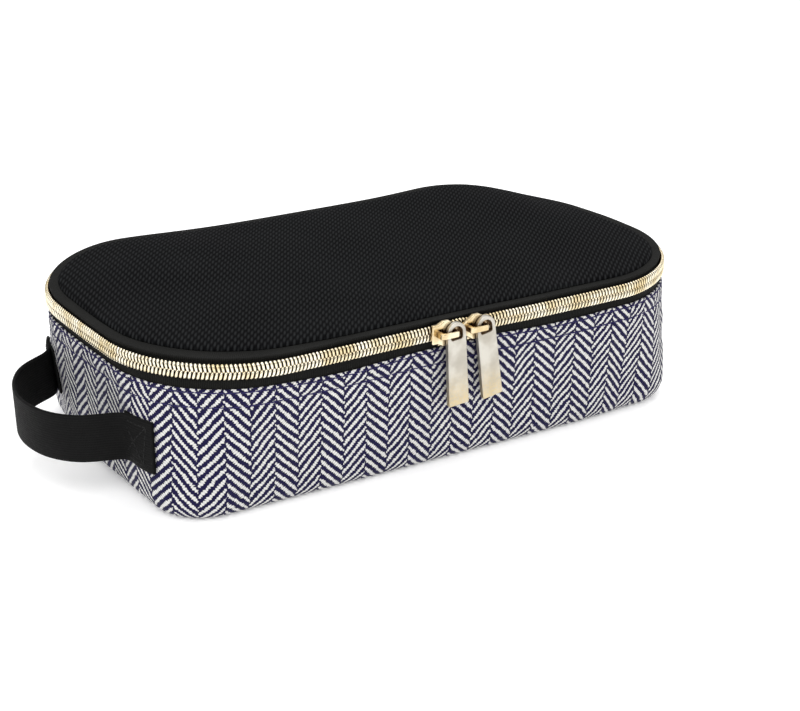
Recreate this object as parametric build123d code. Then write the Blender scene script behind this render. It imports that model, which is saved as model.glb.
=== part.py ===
from build123d import *
from math import atan, cos, radians, sin, tan
import os

# Shoe bag with a zip-round mesh lid. Millimetres. X runs along the bag (handle at -X), Y runs
# from the front (sliders, -Y) to the back (hinge, +Y), Z is up, origin on the base at its middle.

# Overall size, over the zip chain
length = 266.7
depth = 152.4
lid_height = 63.5
zip_height = 58.8           # middle of the zip chain above the base

# Case shape: the wall leans out a little towards the rim
rim_corner = 51.5
lean_x = 2.8                # how far the wall leans out at each end
lean_y = 1.6                # and at the front and back
lean_chain = 0.2            # how far the chain leans out above its middle
foot_corner = 22.0          # corner where the wall starts to roll under
roll_height = 8.0           # height of the rolled edge at the base
roll_depth = 6.0            # how far the rolled edge tucks in
roll_steps = 4

# Cloth layers
cloth = 1.0
padding = 2.0
lining = 0.4
binding = 0.6
binding_width = 6.0
wall_top = 52.0             # folded top edge of the patterned cloth
padding_top = 50.0

# Zip: a coil chain sewn on the outer face of its tapes
tape = 0.6
tape_hidden = 8.0           # tape sewn in behind the wall cloth
coil = 2.35                 # how far the coil stands off the tape
chain_half = 3.3            # half the width of the meshed chain
chain_gap = 0.5             # from the middle of the chain to each half
hinge_half = 75.0           # half length of the unzipped strip at the back
zip_end = 5.0               # tab over each end of the chain

# Lid
lid_band = 10.0             # width of the tape that lies flat on the lid
lid_lap = 2.0               # mesh sewn over the band
mesh = 0.8
crown = ((0.0, 0.0), (6.0, 1.3), (18.0, 2.4), (36.0, 3.0))   # mesh: distance in, rise
lid_seam_in = 4.0           # bound seam inside the lid

# Sliders
slider_length = 13.5
slider_rear = 4.0           # half width at the rear end
slider_shoulder = 5.2       # half width at the shoulders
slider_nose = 1.6
slider_waist = 0.2          # shares of the length where the plate widens and narrows
slider_flare = 0.38
slider_taper = 0.58
slider_corner = 0.7
lip_middle = 0.5            # lip under the plate: its middle and length as shares of the length
lip_length = 0.45
wing = 1.4                  # plate in front of the chain
wing_inner = 1.2            # plate behind the tape
wing_round = 0.5
slider_gap = 0.3            # running clearance to the chain and tape
web = 0.4                   # thin wedge between the two halves of the chain
web_length = 4.0
bridge_rear = 2.2           # from the rear end to the bridge
bridge_nose = 2.4
bridge_post = 1.5
bridge_width = 2.4
bridge_thick = 1.2
bridge_round = 1.4
bridge_edge = 0.4
slider_meet = -4.2          # where the two noses face each other
nose_gap = 0.6

# Pulls
pull_thick = 1.8
pull_gap = 0.3
pull_drop = 31.2            # from the middle of the eye to the bottom edge
pull_top = 4.4              # outer radius round the eye
pull_foot = 4.8             # half width at the bottom edge
eye = 2.8
eye_round = 0.8
pull_round = 0.6
pull_edge = 0.35
pull_left_lean = 4.0        # degrees off the vertical, bottom edge towards +X
pull_right_lean = 8.5

# Handle: flat webbing
webbing = 1.6
webbing_width = 20.0
handle_height = 27.5        # middle of the webbing above the base
handle_reach = 30.4         # from the end wall to the middle of the webbing
handle_half = 33.0          # half the distance between the two roots
patch_fold = 2.4            # folded and sewn end
patch_start = 35.0
patch_length = 17.5
flex = 30.0                 # degrees the loop lifts or drops
flex_margin = 4.0
root_gap = 0.6
loop_behind = 20.0          # how far the loop's outline runs in past the wall before it is cut
loop_shoulder = 0.55        # share of the reach where its sides turn
loop_narrow = 1.5           # how much narrower it is there
loop_tip = 0.5              # share of the half width that is straight at the tip
loop_radii = (3.0, 20.0, 26.0)

over = 1.0                  # how far cutters run past the faces they cut

stand_off = coil - cloth
rim_half_x = length / 2 - stand_off - lean_chain
rim_half_y = depth / 2 - stand_off - lean_chain
foot_half_x = rim_half_x - lean_x
foot_half_y = rim_half_y - lean_y
lower_chain_top = zip_height - chain_gap
upper_chain_low = zip_height + chain_gap
chain_low = zip_height - chain_half
chain_top = zip_height + chain_half
tape_low = wall_top - tape_hidden
tape_in = cloth + tape
shell_in = cloth + padding
lining_in = shell_in + lining
floor_z = shell_in + lining
coil_out = -stand_off
lid_under = lid_height - tape
slider_left_x = slider_meet - nose_gap / 2 - slider_length      # rear ends of the sliders
slider_right_x = slider_meet + nose_gap / 2 + slider_length
slope_height = zip_height - roll_height


def section(z, inset):
    """Rounded outline of the case at a height above the roll, moved in by a distance."""
    k = (z - roll_height) / slope_height
    half_x = foot_half_x + k * (rim_half_x - foot_half_x) - inset
    half_y = foot_half_y + k * (rim_half_y - foot_half_y) - inset
    corner = foot_corner + k * (rim_corner - foot_corner) - inset
    return Plane.XY.offset(z) * RectangleRounded(2 * half_x, 2 * half_y, corner)


def roll_section(turn, inset):
    """Outline at a step round the rolled edge, 0 at the wall and 90 degrees on the base."""
    tuck = roll_depth - (roll_depth - inset) * cos(radians(turn))
    z = roll_height - (roll_height - inset) * sin(radians(turn))
    half_x = foot_half_x - tuck
    half_y = foot_half_y - tuck
    return Plane.XY.offset(z) * RectangleRounded(2 * half_x, 2 * half_y, foot_corner - tuck)


def block(low, high, inset):
    """Solid of the case outline between two heights above the roll."""
    return loft([section(low, inset), section(high, inset)], ruled=True)


def band(low, high, outer, inner):
    """Ring between two insets of the case outline."""
    return block(low, high, outer) - block(low - over, high + over, inner)


def tub(high, inset):
    """Solid of the case outline from its rolled edge up to a height."""
    steps = [90 - 90 * step / roll_steps for step in range(roll_steps + 1)]
    return loft([roll_section(turn, inset) for turn in steps] + [section(high, inset)], ruled=True)


def floor(low, thick, inset=0.0):
    """Flat piece inside the seam line of the base."""
    outline = RectangleRounded(
        2 * (foot_half_x - roll_depth - inset),
        2 * (foot_half_y - roll_depth - inset),
        foot_corner - roll_depth - inset,
    )
    return extrude(Plane.XY.offset(low) * outline, thick)


def slab(x0, x1, y0, y1, z0, z1):
    """Box between two corners."""
    middle = Pos((x0 + x1) / 2, (y0 + y1) / 2, (z0 + z1) / 2)
    return middle * Box(x1 - x0, y1 - y0, z1 - z0)


def back_strip():
    """Space of the unzipped strip along the back."""
    return slab(-hinge_half, hinge_half, rim_half_y / 2, rim_half_y * 2, 0, lid_height * 2)


def zipped(ring):
    """The part of a ring that the zip runs along."""
    return ring - back_strip()


def unzipped(ring):
    """The part of a ring along the back."""
    return ring & back_strip()


def make_wall():
    return tub(wall_top, 0) - tub(wall_top + over, cloth) - floor(0, cloth)


def make_wall_padding():
    lower = tub(tape_low, cloth) - tub(tape_low + over, shell_in) - floor(cloth, padding)
    return lower + band(tape_low, padding_top, tape_in, shell_in)


def make_side_lining():
    return tub(padding_top, shell_in) - tub(padding_top + over, lining_in) - floor(shell_in, lining)


def make_base_binding():
    return floor(floor_z, binding) - floor(floor_z - over, binding + 2 * over, binding_width)


def make_rim_binding():
    face = band(padding_top - binding_width, padding_top + binding, lining_in, lining_in + binding)
    cap = band(padding_top, padding_top + binding, tape_in, lining_in)
    return face + cap


def make_zip_end(side):
    ring = band(chain_low, lower_chain_top, coil_out, cloth)
    inner = side * (hinge_half - zip_end)
    outer = side * hinge_half
    span = slab(min(inner, outer), max(inner, outer), rim_half_y / 2, rim_half_y * 2, 0, lid_height)
    return ring & span


def upper_tape_ring():
    upright = band(upper_chain_low, lid_under, cloth, tape_in)
    flat = band(lid_under, lid_height, cloth, lid_band)
    return upright + flat


def make_lid_mesh():
    start = lid_band - lid_lap
    sections = [section(lid_height, start + run).moved(Location((0, 0, rise))) for run, rise in crown]
    dome = loft(sections, ruled=True)
    return dome - dome.moved(Location((0, 0, -mesh)))


def make_lid_binding():
    return band(lid_under - binding, lid_under, lid_seam_in, lid_seam_in + binding_width)


def make_slider(rear_x, toward):
    """Slider with its rear end at rear_x and its nose along toward, which is 1 or -1."""
    face = rim_half_y - coil_out + slider_gap
    back = rim_half_y - tape_in - slider_gap
    nose_x = slider_length
    flare_x = slider_length * slider_flare
    shoulder_x = slider_length * slider_taper
    points = (
        (0, -slider_rear),
        (slider_length * slider_waist, -slider_rear),
        (flare_x, -slider_shoulder),
        (shoulder_x, -slider_shoulder),
        (nose_x, -slider_nose),
        (nose_x, slider_nose),
        (shoulder_x, slider_shoulder),
        (flare_x, slider_shoulder),
        (slider_length * slider_waist, slider_rear),
        (0, slider_rear),
    )
    outline = make_face(Polyline(*points, close=True))
    outline = fillet(outline.vertices(), slider_corner)
    front_plane = Plane(origin=(rear_x, 0, zip_height), x_dir=(toward, 0, 0), z_dir=(0, -1, 0))
    plate = extrude(front_plane.offset(face) * outline, wing)
    plate = fillet(plate.faces().sort_by(Axis.Y)[0].edges(), wing_round)
    inner = extrude(front_plane.offset(back) * outline, -wing_inner)
    inner_top = lid_under - 2 * slider_gap
    inner -= slab(-rim_half_x, rim_half_x, -rim_half_y, 0, inner_top, lid_height * 2)
    wedge_x = rear_x + toward * (slider_length - web_length / 2 - slider_nose)
    wedge = Pos(wedge_x, -(face + back) / 2, zip_height) * Box(web_length, face - back, web)
    lip_z = chain_low - slider_gap
    lip_low = zip_height - slider_shoulder
    lip_back = rim_half_y - cloth + slider_gap
    lip_x = rear_x + toward * slider_length * lip_middle
    lip = Pos(lip_x, -(face + lip_back) / 2, (lip_z + lip_low) / 2)
    lip = lip * Box(slider_length * lip_length, face - lip_back, lip_z - lip_low)
    return plate + inner + wedge + lip + make_bridge(rear_x, toward, face + wing)


def make_bridge(rear_x, toward, face):
    """Lengthwise arch on the front plate that carries the pull."""
    start = rear_x + toward * bridge_rear
    end = rear_x + toward * (slider_length - bridge_nose)
    low = min(start, end)
    high = max(start, end)
    rise = pull_gap + pull_thick + pull_gap + bridge_thick
    arch = slab(low, high, -face - rise, -face, zip_height - bridge_width / 2, zip_height + bridge_width / 2)
    arch = fillet(arch.edges().filter_by(Axis.Z).group_by(Axis.Y)[0], bridge_round)
    arch = fillet(arch.edges().filter_by(Axis.X).group_by(Axis.Y)[0], bridge_edge)
    gap = slab(
        low + bridge_post,
        high - bridge_post,
        -face - rise + bridge_thick,
        -face + over,
        zip_height - bridge_width,
        zip_height + bridge_width,
    )
    return arch - gap


def eye_x(rear_x, toward):
    """Middle of the eye: at the bridge's post nearer +X."""
    start = rear_x + toward * bridge_rear
    end = rear_x + toward * (slider_length - bridge_nose)
    return max(start, end) - bridge_post / 2


def make_pull(centre_x, lean):
    """Flat pull with a round-topped eye, hanging from its eye's middle."""
    slope = atan((pull_foot - pull_top) / pull_drop)
    side = pull_top * cos(slope)
    start = pull_top * sin(slope)
    top = ThreePointArc((side, start), (0, pull_top), (-side, start))
    tab = Polyline((-side, start), (-pull_foot, -pull_drop), (pull_foot, -pull_drop), (side, start))
    shape = make_face([top, tab])
    arch = ThreePointArc((eye, 0), (0, eye), (-eye, 0))
    sill = FilletPolyline((-eye, 0), (-eye, -eye), (eye, -eye), (eye, 0), radius=eye_round)
    opening = make_face([arch, sill])
    face = rim_half_y - coil_out + slider_gap + wing + pull_gap
    plane = Plane(origin=(centre_x, -face, zip_height), x_dir=(1, 0, 0), z_dir=(0, -1, 0))
    body = extrude(plane * Rot(0, 0, lean) * (shape - opening), pull_thick)
    feet = body.edges().filter_by(Axis.Y).sort_by(Axis.Z)[0:2]
    body = fillet(feet, pull_round)
    front = body.faces().filter_by(Axis.Y).sort_by(Axis.Y)[0]
    return fillet(front.edges(), pull_edge)


def make_patch(side):
    low = handle_height - webbing_width / 2
    high = handle_height + webbing_width / 2
    ring = band(low, high, -patch_fold, 0)
    near = side * patch_start
    far = side * (patch_start + patch_length)
    span = slab(-rim_half_x * 2, 0, min(near, far), max(near, far), 0, lid_height)
    return ring & span


def end_wall():
    """Half length of the case at the height of the handle."""
    k = (handle_height - roll_height) / slope_height
    return foot_half_x + k * (rim_half_x - foot_half_x)


def make_handle():
    root = end_wall()
    tip = root + handle_reach
    behind = -root + loop_behind
    turn = -root - handle_reach * loop_shoulder
    waist = handle_half - loop_narrow
    straight = handle_half * loop_tip
    route = FilletPolyline(
        (behind, -handle_half),
        (turn, -waist),
        (-tip, -straight),
        (-tip, straight),
        (turn, waist),
        (behind, handle_half),
        close=True,
        radius=loop_radii + loop_radii[::-1],
    )
    middle = make_face(route)
    strip = offset(middle, webbing / 2) - offset(middle, -webbing / 2)
    low = handle_height - webbing_width / 2
    loop = extrude(Plane.XY.offset(low) * strip, webbing_width)
    return loop - root_wedge(root)


def root_wedge(root):
    """Space that the roots leave free, so that the loop can lift and drop at the wall."""
    rise = webbing_width
    slant = rise * tan(radians(flex + flex_margin))
    near = -root - root_gap
    outline = Polyline(
        (near, handle_height),
        (near - slant, handle_height + rise),
        (root, handle_height + rise),
        (root, handle_height - rise),
        (near - slant, handle_height - rise),
        close=True,
    )
    wedge = make_face(Plane.XZ * outline)
    return extrude(wedge, rim_half_y * 2, both=True)


lower_tape_ring = band(tape_low, lower_chain_top, cloth, tape_in)
upper_ring = upper_tape_ring()

parts = {
    "side_wall": make_wall(),
    "bottom_panel": floor(0, cloth),
    "wall_padding": make_wall_padding(),
    "base_padding": floor(cloth, padding),
    "side_lining": make_side_lining(),
    "bottom_lining": floor(shell_in, lining),
    "base_binding": make_base_binding(),
    "rim_binding": make_rim_binding(),
    "zip_tape_lower": zipped(lower_tape_ring),
    "zip_coil_lower": zipped(band(chain_low, lower_chain_top, coil_out, cloth)),
    "zip_end_left": make_zip_end(-1),
    "zip_end_right": make_zip_end(1),
    "hinge_strip_lower": unzipped(lower_tape_ring),
    "hinge_strip_upper": unzipped(upper_ring),
    "zip_tape_upper": zipped(upper_ring),
    "zip_coil_upper": zipped(band(upper_chain_low, chain_top, coil_out, cloth)),
    "lid_mesh": make_lid_mesh(),
    "lid_binding": make_lid_binding(),
    "slider_left": make_slider(slider_left_x, 1),
    "slider_right": make_slider(slider_right_x, -1),
    "pull_left": make_pull(eye_x(slider_left_x, 1), pull_left_lean),
    "pull_right": make_pull(eye_x(slider_right_x, -1), pull_right_lean),
    "handle_end_front": make_patch(-1),
    "handle_end_rear": make_patch(1),
    "handle_loop": make_handle(),
}

os.makedirs("parts", exist_ok=True)
for name, shape in parts.items():
    export_step(shape, f"parts/{name}.step")
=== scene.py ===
import math

import bmesh
import bpy
import numpy as np
from mathutils import Matrix, Vector


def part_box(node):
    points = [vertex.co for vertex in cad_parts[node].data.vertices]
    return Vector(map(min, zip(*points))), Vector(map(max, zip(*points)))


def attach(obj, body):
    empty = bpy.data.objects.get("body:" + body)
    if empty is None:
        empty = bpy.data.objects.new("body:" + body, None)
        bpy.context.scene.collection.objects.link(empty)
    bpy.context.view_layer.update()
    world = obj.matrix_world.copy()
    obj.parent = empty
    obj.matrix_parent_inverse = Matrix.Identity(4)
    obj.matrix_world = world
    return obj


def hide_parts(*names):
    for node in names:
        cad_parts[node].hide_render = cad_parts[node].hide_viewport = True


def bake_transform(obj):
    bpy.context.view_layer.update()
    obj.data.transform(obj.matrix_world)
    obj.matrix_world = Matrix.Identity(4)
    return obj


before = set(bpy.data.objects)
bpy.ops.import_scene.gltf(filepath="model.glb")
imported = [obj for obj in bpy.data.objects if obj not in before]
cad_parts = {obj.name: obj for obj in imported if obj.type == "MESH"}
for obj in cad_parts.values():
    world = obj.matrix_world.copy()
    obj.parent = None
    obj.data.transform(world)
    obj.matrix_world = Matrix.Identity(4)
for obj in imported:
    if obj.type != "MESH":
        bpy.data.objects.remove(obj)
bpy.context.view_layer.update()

mm = 0.001


def span(node):
    # lowest and highest corner of a CAD node, in millimetres
    low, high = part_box(node)
    return np.array(low) / mm, np.array(high) / mm


# The case: a rounded rectangle that leans out from the rolled base edge to the zip. Heights and
# half sizes come from the CAD nodes, in millimetres.
_, bottomHigh = span("bottom_panel")
_, wallHigh = span("side_wall")
case = {
    "roll": 8.0,            # height of the rolled base edge
    "tuck": 6.0,            # how far it tucks under
    "footCorner": 22.0,
    "rimCorner": 51.5,
    "zip": 58.8,            # middle of the zip chain
}
case["footX"] = bottomHigh[0] + case["tuck"]
case["footY"] = bottomHigh[1] + case["tuck"]
case["leanX"] = (wallHigh[0] - case["footX"]) / (wallHigh[2] - case["roll"])
case["leanY"] = (wallHigh[1] - case["footY"]) / (wallHigh[2] - case["roll"])
case["leanCorner"] = (case["rimCorner"] - case["footCorner"]) / (case["zip"] - case["roll"])


def outline(t, halfX, halfY, corner):
    # Rounded rectangle: t runs 0 to 4 from the middle of the front, by the right end and the back
    # to the left end, and each quarter is shared out by arc length. Gives x, y, the outward
    # normal and the length walked from the middle of the front.
    t, halfX, halfY, corner = np.broadcast_arrays(t, halfX, halfY, corner)
    quarter = np.floor(t + 1e-9)
    part = np.clip(t - quarter, 0, 1)
    quarterLength = halfX + halfY - 2 * corner + corner * np.pi / 2
    mirrored = quarter % 2 == 1
    s = np.where(mirrored, 1 - part, part) * quarterLength
    straight = halfX - corner
    turn = np.clip((s - straight) / corner, 0, np.pi / 2)
    beyond = np.maximum(s - straight - corner * np.pi / 2, 0)
    flip = np.where(mirrored, -1.0, 1.0)
    turned = np.where(quarter % 4 >= 2, -1.0, 1.0)
    x = (np.minimum(s, straight) + corner * np.sin(turn)) * turned
    y = (beyond - halfY + corner - corner * np.cos(turn)) * flip * turned
    normalX = np.sin(turn) * turned
    normalY = -np.cos(turn) * flip * turned
    return x, y, normalX, normalY, (quarter + part) * quarterLength


def ease(value, low, high):
    # 0 below low and 1 above high, with an easy slope between
    f = np.clip((value - low) / (high - low), 0, 1)
    return f * f * (3 - 2 * f)


def hump(value, middle, width):
    return np.exp(-(((value - middle) / width) ** 2))


sag = {
    "foot": 7.4,            # how far the right front foot is pushed in
    "backFoot": 9.5,        # and the left back one
    "footTop": 70.0,        # height where that ends
    "backLeft": 2.2,        # rise of the lid's back edge, left and right
    "backRight": 1.4,
    "backCorner": 2.6,      # drop of its right corner
    "rim": 0.3,             # dip of the front rim to the right of the sliders
    "foldLeft": 1.7,        # dips of the cloth's folded edge
    "foldRight": 1.1,
}


def settled(points):
    # The soft case never stands quite true. Each term is a distance times an easy weight along x,
    # y and z, and every piece of the case takes the same ones.
    x, y, z = points[..., 0], points[..., 1], points[..., 2]
    front = ease(-y, 20, 60)
    back = ease(y, -10, 45) * ease(z, 46, 56)
    foot = sag["foot"] * ease(x, 60, 112) * ease(-y, 10, 62)
    foot = foot - sag["backFoot"] * ease(-x, 60, 112) * ease(y, 10, 62)
    foot = foot * np.clip(1 - z / sag["footTop"], 0, 1)
    rise = back * (sag["backLeft"] * hump(x, -85, 38) + sag["backRight"] * hump(x, 88, 25) + 0.4)
    rise = rise - back * sag["backCorner"] * ease(x, 100, 128)
    rise = rise - front * sag["rim"] * ease(z, 38, 50) * ease(x, 16, 34) * (1 - ease(x, 84, 112))
    fold = sag["foldLeft"] * hump(x, -57, 24) + sag["foldRight"] * hump(x, 50, 24)
    rise = rise - front * fold * hump(z, 50, 5)
    return np.stack([x - foot * 0.95, y + foot * 0.3, z + rise], axis=-1)


def around(t, height, inset):
    # The case outline at a height, moved in along its own normal and settled. Gives points,
    # normals and the length walked on the outline itself.
    rise = np.maximum(height - case["roll"], 0)
    x, y, normalX, normalY, walked = outline(
        t,
        case["footX"] + case["leanX"] * rise,
        case["footY"] + case["leanY"] * rise,
        case["footCorner"] + case["leanCorner"] * rise,
    )
    points = np.stack([x - normalX * inset, y - normalY * inset, height + 0 * x], axis=-1)
    return settled(points), np.stack([normalX, normalY, 0 * x], axis=-1), walked


def unit(vectors):
    return vectors / np.maximum(np.linalg.norm(vectors, axis=-1, keepdims=True), 1e-12)


def stations(profile):
    # length along a profile of points, from its first point
    steps = np.linalg.norm(np.diff(profile, axis=0), axis=1)
    return np.concatenate([[0], np.cumsum(steps)])


def rounded(corners, radii, steps=5):
    # Polyline with its corners rounded: each corner becomes a quadratic curve between two points
    # set back along its sides by the radius.
    corners = np.array(corners, float)
    made = [corners[:1]]
    f = np.linspace(0, 1, steps + 1)[:, None]
    for before, at, after, radius in zip(corners[:-2], corners[1:-1], corners[2:], radii):
        start = at + unit(before - at) * radius
        end = at + unit(after - at) * radius
        made.append(start * (1 - f) ** 2 + at * 2 * f * (1 - f) + end * f ** 2)
    made.append(corners[-1:])
    return np.concatenate(made)


def divided(profile, step):
    # the same polyline with no piece longer than step
    made = [profile[:1]]
    for a, b in zip(profile[:-1], profile[1:]):
        count = max(1, int(np.ceil(np.linalg.norm(b - a) / step)))
        made.append(a + (b - a) * (np.arange(1, count + 1) / count)[:, None])
    return np.concatenate(made)


def spline(controls, count):
    # Uniform cubic B-spline through doubled ends: each point is a weighted sum of four controls.
    controls = np.array(controls, float)
    p = np.concatenate([2 * controls[:1] - controls[1:2], controls, 2 * controls[-1:] - controls[-2:-1]])
    s = np.linspace(0, len(p) - 3, count)
    i = np.minimum(np.floor(s).astype(int), len(p) - 4)
    f = (s - i)[:, None]
    return (
        p[i] * (1 - f) ** 3 + p[i + 1] * (3 * f ** 3 - 6 * f ** 2 + 4)
        + p[i + 2] * (-3 * f ** 3 + 3 * f ** 2 + 3 * f + 1) + p[i + 3] * f ** 3
    ) / 6


def ripple(a, b, seed, count=7, low=0.02, high=0.09):
    # Soft unevenness: a sum of sine waves of two lengths in seeded directions, about -1 to 1.
    rng = np.random.default_rng(seed)
    angle = rng.uniform(0, np.pi, count)
    rate = rng.uniform(low, high, count) * 2 * np.pi
    shift = rng.uniform(0, 2 * np.pi, count)
    total = 0
    for k in range(count):
        total = total + np.sin((a * np.cos(angle[k]) + b * np.sin(angle[k])) * rate[k] + shift[k])
    return total / math.sqrt(count * 1.5)


def meshPiece(name, points, faces, material, uv=None, smooth=True):
    # object at the origin, with its place in its mesh
    mesh = bpy.data.meshes.new(name)
    mesh.from_pydata((np.asarray(points).reshape(-1, 3) * mm).tolist(), [], faces)
    if uv is not None:
        layer = mesh.uv_layers.new(name="cloth")
        layer.data.foreach_set("uv", (uv * mm).astype(np.float32).ravel())
    mesh.polygons.foreach_set("use_smooth", np.full(len(mesh.polygons), smooth))
    mesh.materials.append(material)
    mesh.validate()
    piece = bpy.data.objects.new(name, mesh)
    bpy.context.scene.collection.objects.link(piece)
    return piece


def gridPiece(name, points, material, uv=None, closed=(False, False), caps=False, facing=None):
    # Surface on a grid of rows and columns. A closed way shares its first row or column with its
    # last; uv then has one more. A cap closes each end of an open way with the other one closed.
    rows, columns = points.shape[:2]
    i, j = np.meshgrid(
        np.arange(rows if closed[0] else rows - 1),
        np.arange(columns if closed[1] else columns - 1),
        indexing="ij",
    )
    nextI, nextJ = (i + 1) % rows, (j + 1) % columns
    faces = np.stack(
        [i * columns + j, i * columns + nextJ, nextI * columns + nextJ, nextI * columns + j], axis=-1
    ).reshape(-1, 4)
    flat = points.reshape(-1, 3)
    a, b, c, d = (flat[faces[:, k]] for k in range(4))
    area = np.cross(c - a, d - b)
    if facing is None:
        middle = flat.mean(axis=0)
        inward = np.einsum("ij,ij->", area, (a + b + c + d) / 4 - middle) < 0
    else:
        inward = np.einsum("ij,j->", area, np.array(facing, float)) < 0
    corners = [(i, j), (i, j + 1), (i + 1, j + 1), (i + 1, j)]
    made = faces
    loops = None
    if uv is not None:
        loops = np.stack([uv[ci, cj] for ci, cj in corners], axis=-2).reshape(-1, 4, 2)
    if inward:
        made = made[:, ::-1]
        loops = None if uv is None else loops[:, ::-1]
    made = made.tolist()
    loops = None if uv is None else loops.reshape(-1, 2)
    if caps:
        ends = (
            [(np.arange(rows) * columns), (np.arange(rows) * columns + columns - 1)[::-1]]
            if closed[0]
            else [np.arange(columns)[::-1], np.arange(columns) + (rows - 1) * columns]
        )
        for end in ends:
            made.append((end[::-1] if inward else end).tolist())
            if uv is not None:
                loops = np.concatenate([loops, np.zeros((len(end), 2)) + loops[0]])
    return meshPiece(name, flat, made, material, loops)


def ringPiece(name, profile, material, t=None, columns=720, change=None):
    # A closed profile of (height, inset) points carried round the case, over the whole outline or
    # between two places on it.
    whole = t is None
    t = np.linspace(-2, 2, columns + 1) if whole else np.linspace(t[0], t[1], columns + 1)
    height, inset = profile[:, :1], profile[:, 1:]
    along = stations(np.concatenate([profile, profile[:1]]))
    _, _, walked = around(t[None], height, inset)
    if change is not None:
        inset = inset + change(walked, height)
    points, _, walked = around(t[None], height, inset)
    # past the front corners the weave stands upright again, by the length walked at mid height
    _, _, midway = around(t[None], case["zip"] / 2 + 0 * height, 0 * inset)
    walked = walked + (midway - walked) * ease(np.abs(t), 0.4, 0.9)
    u = np.concatenate([walked, walked[:1]])
    uv = np.stack(np.broadcast_arrays(u, along[:, None]), axis=-1)
    if whole:
        points = points[:, :-1]
    return gridPiece(name, points, material, uv, closed=(True, whole), caps=not whole)


def capsule(width, thick, steps=4):
    # closed profile of a flat strip with round edges, width by thick
    turn = np.linspace(-np.pi / 2, np.pi / 2, steps + 1)
    side = width / 2 - thick / 2
    right = np.stack([side + thick / 2 * np.cos(turn), thick / 2 * np.sin(turn)], axis=-1)
    count = max(2, int(width / 1.2))
    top = np.linspace(side, -side, count)[1:-1, None] * [1, 0] + [0, thick / 2]
    return np.concatenate([right, top, -right, -top])


def stitches(name, rows, material, length=3.15, thick=0.66):
    # Rows of short threads: one small tube with drawn-in ends, repeated at each place along its
    # row. A row is its places, its directions and its outward normals.
    places, ways, normals = (np.concatenate([row[k] for row in rows]) for k in range(3))
    along = np.array([-0.5, -0.42, -0.2, 0.2, 0.42, 0.5]) * length
    size = np.array([0.15, 0.7, 1.0, 1.0, 0.7, 0.15]) * thick / 2
    turn = np.arange(6) / 6 * 2 * np.pi
    ways, normals = unit(ways), unit(normals)
    across = np.cross(ways, normals)
    shape = (
        ways[:, None, None] * along[None, :, None, None]
        + across[:, None, None] * (size[:, None] * np.cos(turn))[None, :, :, None]
        + normals[:, None, None] * (size[:, None] * np.sin(turn) * 0.8)[None, :, :, None]
    )
    shape = shape - normals[:, None, None] * (along ** 2 / length ** 2 * thick * 1.2)[None, :, None, None]
    points = places[:, None, None] + shape
    count, rings, sides = points.shape[:3]
    i, j = np.meshgrid(np.arange(rings - 1), np.arange(sides), indexing="ij")
    quads = np.stack(
        [i * sides + j, (i + 1) * sides + j, (i + 1) * sides + (j + 1) % sides, i * sides + (j + 1) % sides],
        axis=-1,
    ).reshape(-1, 4)
    ends = [list(range(sides)), [(rings - 1) * sides + k for k in range(sides)][::-1]]
    one = quads.tolist() + ends
    faces = [[v + k * rings * sides for v in face] for k in range(count) for face in one]
    return meshPiece(name, points, faces, material)


def placesAlong(path, normals, pitch):
    # evenly spaced places on a polyline, with its direction and normal there
    s = stations(path)
    count = max(2, int(round(s[-1] / pitch)))
    at = (np.arange(count) + 0.5) * s[-1] / count
    place = np.stack([np.interp(at, s, path[:, k]) for k in range(3)], axis=-1)
    ahead = np.stack([np.interp(at + 0.2, s, path[:, k]) for k in range(3)], axis=-1)
    behind = np.stack([np.interp(at - 0.2, s, path[:, k]) for k in range(3)], axis=-1)
    normal = np.stack([np.interp(at, s, normals[:, k]) for k in range(3)], axis=-1)
    return place, ahead - behind, normal


class Wire:
    # a socket that takes part in sums: each sign adds its Math node
    def __init__(self, finish, socket):
        self.finish = finish
        self.socket = socket

    def maths(self, operation, *values):
        return self.finish.node("ShaderNodeMath", {"operation": operation}, dict(enumerate(values)))

    def __add__(self, other):
        return self.maths("ADD", self, other)

    def __radd__(self, other):
        return self.maths("ADD", other, self)

    def __sub__(self, other):
        return self.maths("SUBTRACT", self, other)

    def __rsub__(self, other):
        return self.maths("SUBTRACT", other, self)

    def __mul__(self, other):
        return self.maths("MULTIPLY", self, other)

    def __rmul__(self, other):
        return self.maths("MULTIPLY", other, self)

    def __truediv__(self, other):
        return self.maths("DIVIDE", self, other)

    def __abs__(self):
        return self.maths("ABSOLUTE", self)

    def sine(self):
        return self.maths("SINE", self)

    def cosine(self):
        return self.maths("COSINE", self)

    def floor(self):
        return self.maths("FLOOR", self)

    def fract(self):
        return self.maths("FRACT", self)

    def smooth(self, low, high):
        # 0 below low and 1 above high, with an easy slope between
        return self.finish.node(
            "ShaderNodeMapRange",
            {"interpolation_type": "SMOOTHSTEP"},
            {0: self, 1: low, 2: high, 3: 0.0, 4: 1.0},
        )


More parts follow.
